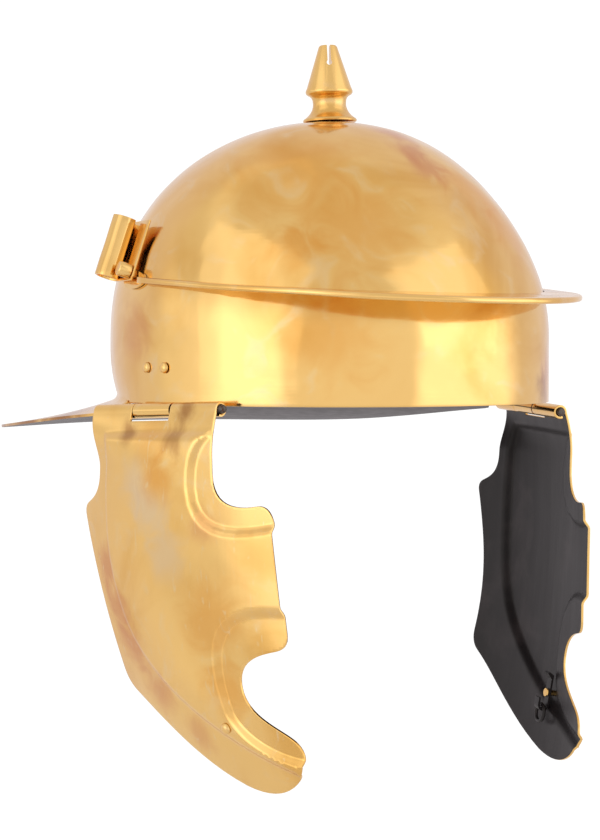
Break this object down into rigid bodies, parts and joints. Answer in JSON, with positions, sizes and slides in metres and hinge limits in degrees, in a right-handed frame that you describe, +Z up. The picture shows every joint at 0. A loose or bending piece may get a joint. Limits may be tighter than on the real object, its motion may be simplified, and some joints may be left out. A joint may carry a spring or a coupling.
{
  "type": "roman legionary helmet",
  "caption": "Sheet-brass legionary helmet with brow peak, sloping neck guard, slotted crest knob, side plume tubes and hinged embossed cheek guards.",
  "frame": {"origin": "middle of the head opening, in the plane of the bowl's rim, on the bowl's upright axis", "axes": "+Z up through the crest knob, -Y to the face (the brow peak's side), +X to the wearer's left"},
  "size_m": [0.243, 0.3257, 0.3451],
  "materials": {
    "polished_brass": "hand-polished sheet brass with light tarnish, painted black on the inside",
    "turned_brass": "turned and filed brass",
    "black_paint": "satin black-brown paint",
    "pin_steel": "dull dark steel, cut off rough"
  },
  "bodies": {
    "helmet": {"skull_bowl": "polished_brass", "crest_knob": "turned_brass", "brow_peak": "polished_brass", "plume_tube_left": "polished_brass", "tube_stud_left": "turned_brass", "hinge_leaf_left": "polished_brass", "leaf_rivet_rear_left": "turned_brass", "leaf_rivet_front_left": "turned_brass", "hinge_pin_left": "pin_steel", "plume_tube_right": "polished_brass", "tube_stud_right": "turned_brass", "hinge_leaf_right": "polished_brass", "leaf_rivet_rear_right": "turned_brass", "leaf_rivet_front_right": "turned_brass", "hinge_pin_right": "pin_steel"},
    "cheek_left": {"cheek_guard_left": "polished_brass", "tie_rivet_left": "turned_brass", "tie_strip_left": "black_paint", "tie_ring_left": "black_paint"},
    "cheek_right": {"cheek_guard_right": "polished_brass", "tie_rivet_right": "turned_brass", "tie_strip_right": "black_paint", "tie_ring_right": "black_paint"}
  },
  "joints": [
    {"name": "cheek_left_hinge", "type": "hinge", "parent": "helmet", "child": "cheek_left", "pos_m": [0.1065, -0.022, -0.0043], "axis": [-0.2839, -0.9583, -0.0332], "range_deg": [-20, 150]},
    {"name": "cheek_right_hinge", "type": "hinge", "parent": "helmet", "child": "cheek_right", "pos_m": [-0.1065, -0.022, -0.0024], "axis": [-0.2838, 0.9581, -0.0384], "range_deg": [-20, 150]}
  ]
}
